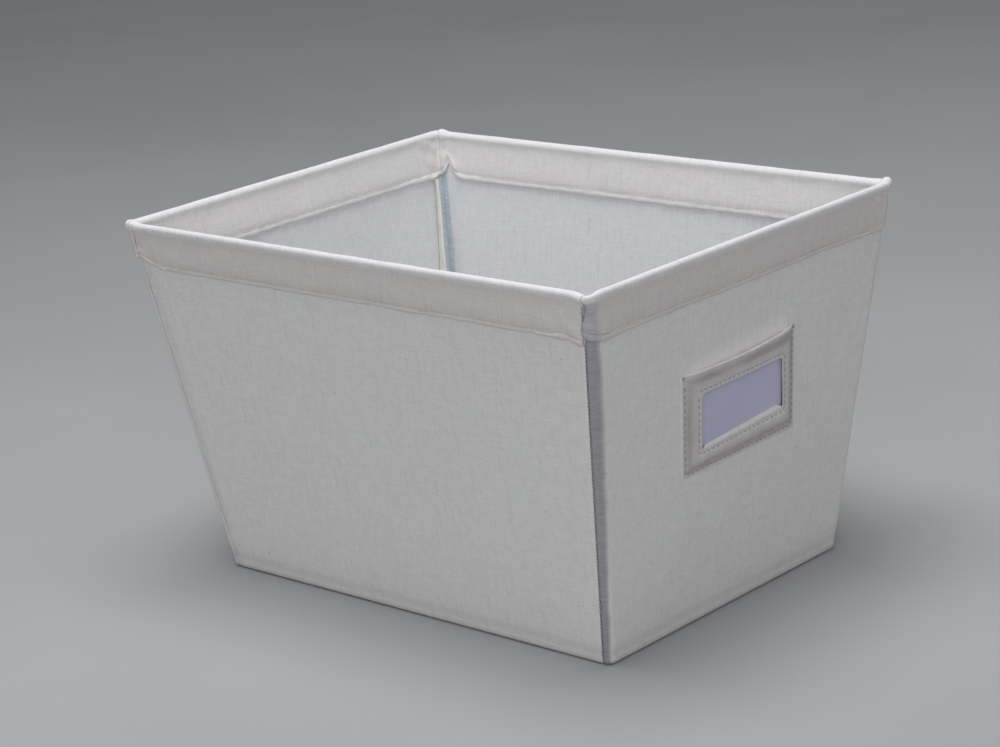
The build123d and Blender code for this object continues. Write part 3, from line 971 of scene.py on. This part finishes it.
loops = Threads()
for corner, signs in CORNER_SIGNS.items():
    seam_tape(corner, signs)
    overlock(loops, signs)
loops.piece("overlock_threads", cream_thread, "seam_tape")


# ---- label holder and card ----
# corners on the wall in millimetres, as (distance along it, height), clockwise from the top left
HOLDER = [(-63.2, 172.5), (50.4, 176.7), (57.1, 104.6), (-56.8, 103.2)]
WINDOW = [(-45.2, 156.6), (36.3, 158.2), (41.3, 123.3), (-40.8, 118.7)]
# across a border, from behind the window's edge to the outside: (share of the border, height in millimetres)
BORDER = [(0.03, -1.5), (0.0, -1.1), (-0.014, -0.5), (0.0, 0.15), (0.03, 0.42), (0.08, 0.38), (0.13, 0.08)]
BORDER += [(0.165, -0.08), (0.2, 0.04), (0.27, 0.2), (0.36, 0.32), (0.46, 0.38), (0.56, 0.3), (0.66, 0.1)]
BORDER += [(0.74, -0.06), (0.8, -0.2), (0.84, -0.3), (0.88, -0.1), (0.93, 0.08), (0.97, 0.06), (0.995, -0.15)]
BORDER += [(1.0, -0.5), (0.997, -0.9), (0.985, -1.3)]
FOOT_LIP = (-0.16, -0.12, -0.06)  # shares of the first rows at the window's foot, where a lip slopes out
WINDOW_EDGE = -0.1  # the window's edge stands clear of the card, except at its foot
MOUTH_HEM = 0.55  # extra depth, in millimetres, of each of the last three rows of the mouth's rolled hem
MOUTH_DIP = 2.4  # how far the middle of the mouth sags, in millimetres
HOLDER_STITCH_INNER = 0.165  # share of the border where the row round the window is
HOLDER_STITCH_OUTER = 0.84  # and the row round the outside
HOLDER_STITCH_PITCH = 4.6  # in millimetres
HOLDER_FLAT = (116 * MM, 74 * MM)
CORNER_POINTS = 5  # points round each corner of the holder's loops
SIDE_POINTS = [60, 36, 60, 36]  # and along its top, right, foot and left


def rounded_loop(corners, radius):
    """Points round four corners, the corners rounded by this radius, in millimetres."""
    loop = []
    for i in range(4):
        here = Vector(corners[i])
        before = (Vector(corners[i - 1]) - here).normalized()
        after = Vector(corners[(i + 1) % 4])
        ahead = (after - here).normalized()
        start, end = here + before * radius, here + ahead * radius
        for j in range(CORNER_POINTS):
            t = j / (CORNER_POINTS - 1)
            loop.append(start.lerp(here, t).lerp(here.lerp(end, t), t))
        last = after - ahead * radius
        for j in range(1, SIDE_POINTS[i]):
            loop.append(end.lerp(last, j / SIDE_POINTS[i]))
    return loop


outer_loop = rounded_loop(HOLDER, 1.2)
window_loop = rounded_loop(WINDOW, 2.6)
holder_foot = min(z for _, z in HOLDER)


def holder_sides(z):
    """The holder's left and right edges at a height, in millimetres."""
    top_left, top_right, low_right, low_left = HOLDER
    up = (z - low_left[1]) / (top_left[1] - low_left[1])
    return low_left[0] + (top_left[0] - low_left[0]) * up, low_right[0] + (top_right[0] - low_right[0]) * up


def holder_rest(x, z):
    """How far the holder's cloth stands off the canvas: sewn at its sides and foot, bowed at its mouth."""
    left, right = holder_sides(z)
    loose = smooth(0.0, 9.0, min(x - left, right - x, z - holder_foot))
    across = min(max((x - left) / (right - left), 0.0), 1.0)
    mouth = HOLDER[0][1] + (HOLDER[1][1] - HOLDER[0][1]) * across
    bow = 1.3 * math.sin(math.pi * across**1.2) * math.exp(-max(mouth - z, 0.0) / 13)
    gape = 0.0175 * max(z - holder_foot, 0.0)
    ripple = 0.22 * wave(x, z, 13, 7.0) + 0.08 * wave(x, z, 4, 9.0)
    near_window = smooth(7.0, 15.0, min(x - left, right - x, z - holder_foot))
    return 0.75 + loose * (1.0 + gape + ripple) + 0.6 * near_window + bow


def holder_point(x, z, height):
    """A point over the label end's canvas: x, z and the height over its rest, in millimetres."""
    face = CANVAS_FACE + (holder_rest(x, z) + height) * MM
    flat = flat_and_reach("label_end", z * MM, face)[0]
    return wall_point("label_end", (x * MM / flat, 0.0), z * MM, face)


LOOP_SIZE = len(window_loop)
# where the loops' top and foot sides start, and the top's right-hand end
first_top = CORNER_POINTS
first_foot = 3 * CORNER_POINTS + SIDE_POINTS[0] - 1 + SIDE_POINTS[1] - 1
top_right_start = CORNER_POINTS + SIDE_POINTS[0] - 1


def border_place(index, share):
    """Where a border's cloth is on the wall, and how much this index belongs to the mouth."""
    x, z = window_loop[index].lerp(outer_loop[index], share)
    left, right = holder_sides(z)
    across = min(max((x - left) / (right - left), 0.0), 1.0)
    at_mouth = 1.0 if first_top <= index < first_top + SIDE_POINTS[0] else 0.0
    sag = MOUTH_DIP * math.sin(math.pi * across**1.2) * share * at_mouth
    return x, z - sag, at_mouth * smooth(0.0, 0.06, across) * (1 - smooth(0.94, 1.0, across))


def label_frame():
    """The holder's canvas frame, its edges rolled, with a lip at the window's foot and a sagging mouth."""
    vertices, places, tones = [], [], []
    for i, (share, height) in enumerate(BORDER):
        beyond = max(i - len(BORDER) + 4, 0)
        for j in range(LOOP_SIZE):
            at_foot = first_foot - 2 <= j < first_foot + SIDE_POINTS[2] + 1
            x, z, at_mouth = border_place(j, FOOT_LIP[i] if at_foot and i < len(FOOT_LIP) else share)
            rise = height if at_foot or share > 0.5 else max(height, WINDOW_EDGE)
            vertices.append(holder_point(x, z, rise - MOUTH_HEM * beyond * at_mouth))
            places.append((x * MM + HOLDER_WEAVE, z * MM))
            # the darker band across the outer border is dirt with painted shade of the puffed cloth; the
            # paler rolled edges, mouth hem and foot lip are a painted highlight
            soil_and_shade = bump(share, 0.66, 0.17) * (0.85 + 0.7 * wave(x, z, 26, 3.0))
            lip = 1 - smooth(-0.2, 0.4, height) if at_foot and share < 0.5 else 0.0
            tones.append(soil_and_shade - (0.4 + 0.6 * at_mouth) * smooth(0.93, 1.0, share) - lip)
    faces = grid_faces(len(BORDER), LOOP_SIZE, closed=True)
    holder = new_piece("label_frame", vertices, faces, holder_canvas, "bin")
    set_cloth_data(holder, places, tones)
    thicken(holder, 0.5 * MM)
    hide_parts("label_holder")
    width, height = HOLDER_FLAT


label_frame()


def border_run(share, first, last):
    """Evenly spaced points along a border's stitch line, from one loop index to another."""
    line = [Vector(border_place(i % LOOP_SIZE, share)[:2]) for i in range(first, last + 1)]
    points = []
    left_over = 0.0
    for start, end in zip(line, line[1:]):
        length = (end - start).length
        at = left_over
        while at < length:
            points.append(start.lerp(end, at / length))
            at += HOLDER_STITCH_PITCH
        left_over = at - length
    return points


def corner_knot(threads, corner):
    """A small ring of stitches at one end of the mouth."""
    x, z = Vector(WINDOW[corner]).lerp(Vector(HOLDER[corner]), 0.9)
    knot = holder_point(x, z, 0.1)
    for i in range(6):
        turn = math.radians(60 * i)
        side = Vector((math.cos(turn), 0, math.sin(turn))) * 0.9 * MM
        ahead = Vector((-math.sin(turn), 0, math.cos(turn))) * 0.8 * MM
        threads.stitch(knot + side - ahead, knot + side + ahead, outward("label_end"), sink=0.35 * MM)


def label_frame_stitching():
    """A row round the window, and a row round the outside that leaves the mouth open."""
    threads = Threads()
    rows = [(HOLDER_STITCH_INNER, 2), (HOLDER_STITCH_OUTER, top_right_start + 2)]
    for share, first in rows:
        points = [holder_point(x, z, 0.0) for x, z in border_run(share, first, LOOP_SIZE + 2)]
        threads.run(points, [outward("label_end")] * len(points), share=0.68, radius=0.3 * MM)
    for corner in (0, 1):
        corner_knot(threads, corner)
    # the holder's stitches are dark partly as painted shade of their grooves
    threads.piece("label_frame_stitches", dark_thread, "thread", ["label_holder_stitching"])


label_frame_stitching()


def label_card():
    """A stiff card, bowed a little, with cut edges."""
    low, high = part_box("label_card")
    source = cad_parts["label_card"].data
    corners = {}
    for v in source.vertices:
        key = (v.co.x > (low.x + high.x) / 2, v.co.z > (low.z + high.z) / 2)
        best = corners.get(key)
        if best is None or v.co.y < best.y:
            corners[key] = v.co.copy()
    low_left, low_right = corners[False, False], corners[True, False]
    top_left, top_right = corners[False, True], corners[True, True]
    normal = (low_right - low_left).cross(top_left - low_left).normalized()
    columns, rows = 30, 18
    vertices = []
    for i in range(rows + 1):
        for j in range(columns + 1):
            s, t = j / columns, i / rows
            point = low_left.lerp(low_right, s).lerp(top_left.lerp(top_right, s), t)
            bow = 0.06 * MM * wave(s * 0.09, t * 0.05, 40 * MM, 4.0)
            vertices.append(point + normal * bow)
    card = new_piece("card", vertices, grid_faces(rows + 1, columns + 1), card_stock, "label_card")
    thicken(card, 0.35 * MM)
    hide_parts("label_card")


label_card()


# ---- bases ----
def rectangle_sheet(name, node, z, face_up, sag, material):
    """A flat panel of cloth the size of its CAD node, with slight waves."""
    low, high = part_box(node)
    columns, rows = 84, 120
    vertices, places = [], []
    for i in range(rows + 1):
        for j in range(columns + 1):
            x = low.x + (high.x - low.x) * j / columns
            y = low.y + (high.y - low.y) * i / rows
            inside = smooth(0, 8 * MM, min(x - low.x, high.x - x, y - low.y, high.y - y))
            rise = sag * (0.5 + 0.5 * wave(x, y, 45 * MM, z * 900)) * inside
            vertices.append(Vector((x, y, z + rise)))
            places.append((x, y))
    faces = grid_faces(rows + 1, columns + 1)
    if not face_up:
        faces = [tuple(reversed(face)) for face in faces]
    piece = new_piece(name, vertices, faces, material, "bin")
    set_cloth_data(piece, places, [0.0] * len(vertices))
    thicken(piece, CLOTH)
    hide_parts(node)


under, over = 0.05 * MM, LINING_FLOOR - 0.1 * MM
rectangle_sheet("canvas_base", "outer_base", under, False, 0.1 * MM, canvas)
rectangle_sheet("lining_floor", "lining_base", over, True, 0.1 * MM, lining)


INSERT_STEPS = (70, 3, 46, 3)  # points along a long edge, a clipped corner, a short edge, the next corner
INSERT_TURN = 24 * MM  # how much of the wrap is turned under on each side


def insert_loop(inset, corner_cut=13 * MM, ease=2.0 * MM):
    """The loose base's outline, this far in from its edge, as evenly spaced points with eased corners."""
    x, y = INSERT_HIGH.x - inset, INSERT_HIGH.y - inset
    cut = max(corner_cut - inset * (2 - math.sqrt(2)), 3 * ease)
    corners = []
    for sign_x, sign_y in ((1, -1), (1, 1), (-1, 1), (-1, -1)):
        near = Vector((sign_x * x, sign_y * (y - cut)))
        far = Vector((sign_x * (x - cut), sign_y * y))
        corners += [near, far] if sign_x * sign_y > 0 else [far, near]
    loop = []
    for i, here in enumerate(corners):
        before, after = corners[i - 1], corners[(i + 1) % len(corners)]
        start = here + (before - here).normalized() * ease
        end = here + (after - here).normalized() * ease
        loop += [start.lerp(here, t).lerp(here.lerp(end, t), t) for t in (0.0, 0.33, 0.67, 1.0)]
        stop = after + (here - after).normalized() * ease
        steps = INSERT_STEPS[i % 4]
        loop += [end.lerp(stop, k / steps) for k in range(1, steps)]
    return loop


def insert_wrap():
    """Canvas glued over the loose base's board and turned under its edges."""
    top, low = INSERT_HIGH.z, INSERT_LOW.z
    # rings of the top, as shares of its innermost outline
    inner = insert_loop(22 * MM)
    rings = []
    for share in (0.02, 0.12, 0.25, 0.4, 0.55, 0.7, 0.82, 0.9):
        rings.append([(point * share, top) for point in inner])
    # then out over the edge and under, as (how far in, how far from the face), in millimetres
    rounding = [(1.6, 0.05), (0.7, 0.3), (0.2, 0.9)]
    section = [(inset, top) for inset in (22.0, 12.0, 6.0, 3.0)]
    section += [(inset, top - drop * MM) for inset, drop in rounding]
    section.append((0.0, (top + low) / 2))
    section += [(inset, low + rise * MM) for inset, rise in reversed(rounding)]
    section += [(inset, low) for inset in (4.0, 10.0, 17.0)]
    section.append((INSERT_TURN / MM, low + 0.05 * MM))
    for inset, z in section:
        rings.append([(point, z) for point in insert_loop(inset * MM)])
    vertices, places = [], []
    for ring in rings:
        for (x, y), z in ring:
            inside = smooth(0, 12 * MM, min(INSERT_HIGH.x - abs(x), INSERT_HIGH.y - abs(y)))
            ripple = 0.18 * MM * wave(x, y, 38 * MM, 2.0) * inside if z == top else 0.0
            vertices.append(Vector((x, y, z + ripple)))
            places.append((x + INSERT_WEAVE, y + (top - z)))
    faces = grid_faces(len(rings), len(inner), closed=True)
    faces.append(tuple(reversed(range(len(inner)))))
    faces = [tuple(reversed(face)) for face in faces]
    piece = new_piece("insert_cover", vertices, faces, insert_canvas, "base_insert")
    set_cloth_data(piece, places, [0.0] * len(vertices))
    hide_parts("insert_wrap")


insert_wrap()


# ---- loose ends of thread ----
def stray_thread(name, points, material, radius=0.11 * MM):
    """One fine loose thread along a curve."""
    curve = bpy.data.curves.new(name, "CURVE")
    curve.dimensions = "3D"
    curve.bevel_depth = radius
    curve.bevel_resolution = 2
    spline = curve.splines.new("BEZIER")
    spline.bezier_points.add(len(points) - 1)
    for target, point in zip(spline.bezier_points, points):
        target.co = point
        target.handle_left_type = "AUTO"
        target.handle_right_type = "AUTO"
    curve.materials.append(material)
    piece = bpy.data.objects.new(name, curve)
    bpy.context.scene.collection.objects.link(piece)
    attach(piece, "bin")


def seam_point(z, out):
    """A point on the front corner's outer seam."""
    return wall_point("left_side", (1.0, 0.0), z, out)


def painted_seam_shade(low, high, out, pitch=2.4 * MM, jag=0.3 * MM):
    """Near-black stitches along the front corner's seam: painted shade, standing for the shade in the seam's
    groove.
    """
    count = round((high - low) / pitch)
    points = []
    for i in range(count + 1):
        z = low + (high - low) * i / count
        points.append(seam_point(z, out) + Vector((0, jag * (-1) ** i * rng.uniform(0.3, 1.0), 0)))
    seam_shadow_threads.run(points, [outward("left_side")] * len(points), share=0.9, radius=0.26 * MM)


# painted shade: near-black stitches down the front corner's seam, below and above the hem
seam_shadow_threads = Threads()
painted_seam_shade(3 * MM, HEM_Z - 2 * MM, CANVAS_FACE - 0.35 * MM)
painted_seam_shade(HEM_Z + 3 * MM, RIM_Z - 5 * MM, 2.45 * MM)
seam_shadow_threads.piece("front_seam_shadow_stitches", seam_shadow_thread, "thread")

for i in range(14):
    z = RIM_Z - (4.5 + 1.7 * i) * MM
    start = seam_point(z, 2.4 * MM)
    reach = rng.uniform(0.8, 2.4) * MM
    away = Vector((-rng.uniform(0.5, 1.0), -rng.uniform(-0.2, 0.6), rng.uniform(-0.6, 0.6))).normalized()
    curl = Vector((0, 0, rng.uniform(-0.8, 0.8) * MM))
    points = [start, start + away * reach * 0.6, start + away * reach + curl]
    stray_thread(f"fray_cuff_{i}", points, dark_thread if i % 3 else thread)
for i in range(9):
    z = (2.5 + 2.8 * i) * MM
    start = seam_point(z, 1.2 * MM)
    away = Vector((-rng.uniform(0.2, 0.9), -rng.uniform(0.2, 0.9), rng.uniform(-0.5, 0.3))).normalized()
    reach = rng.uniform(0.7, 1.7) * MM
    stray_thread(f"fray_foot_{i}", [start, start + away * reach * 0.5, start + away * reach], thread)


# ---- CAD pieces that keep their own shape ----
def dress(node, material):
    """Gives a CAD node its material."""
    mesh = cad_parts[node].data
    mesh.materials.clear()
    mesh.materials.append(material)


for wall in WALLS:
    dress(f"wall_board_{wall}", fibreboard)
dress("insert_board", fibreboard)
dress("rim_wire", wire_steel)
dress("rim_wire_sleeve", sleeve_steel)


# ---- studio ----
def plane(name, size, z, material):
    """A flat square, part of the studio."""
    half = size / 2
    mesh = bpy.data.meshes.new(name)
    corners = [(-half, -half, z), (half, -half, z), (half, half, z), (-half, half, z)]
    mesh.from_pydata(corners, [], [(0, 1, 2, 3)])
    mesh.materials.append(material)
    floor = bpy.data.objects.new(name, mesh)
    bpy.context.scene.collection.objects.link(floor)


def area_light(name, position, target, size, power):
    """A soft square light aimed at a target."""
    light = bpy.data.lights.new(name, "AREA")
    light.shape = "SQUARE"
    light.size = size
    light.energy = power
    light.color = (0.96, 0.98, 1.0)
    lamp = bpy.data.objects.new(name, light)
    lamp.location = position
    lamp.rotation_mode = "QUATERNION"
    lamp.rotation_quaternion = (Vector(target) - Vector(position)).to_track_quat("-Z", "Y")
    bpy.context.scene.collection.objects.link(lamp)


plane("floor", 16.0, -0.3 * MM, floor_material())
area_light("overhead_softbox", (-0.1, 0.05, 1.9), (0, 0, 0.12), 1.1, 25.0)
area_light("front_fill", (-2.0, -1.6, 1.1), (0, 0, 0.1), 1.6, 18.0)

world = bpy.data.worlds.new("studio_air")
world.use_nodes = True
world.node_tree.nodes["Background"].inputs["Color"].default_value = (0.93, 0.95, 1.0, 1)
world.node_tree.nodes["Background"].inputs["Strength"].default_value = 0.30
bpy.context.scene.world = world
bpy.context.scene.view_settings.view_transform = "Standard"


def make_camera(azimuth, elevation, roll, lens, location):
    """The camera; azimuth 0 looks along +Y, and roll turns the picture."""
    a, e, r = (math.radians(angle) for angle in (azimuth, elevation, roll))
    back = Vector((math.sin(a) * math.cos(e), -math.cos(a) * math.cos(e), math.sin(e)))
    right = Vector((math.cos(a), math.sin(a), 0))
    up = back.cross(right)
    across = right * math.cos(r) + up * math.sin(r)
    upright = up * math.cos(r) - right * math.sin(r)
    camera = bpy.data.objects.new("camera", bpy.data.cameras.new("camera"))
    camera.data.sensor_width = 36
    camera.data.lens = lens
    turn = Matrix((across, upright, back)).transposed()
    camera.matrix_world = Matrix.Translation(location) @ turn.to_4x4()
    bpy.context.scene.collection.objects.link(camera)
    bpy.context.scene.camera = camera


make_camera(-46.80, 16.70, -4.58, 99.0, Vector((-1.2828, -1.1901, 0.6554)))
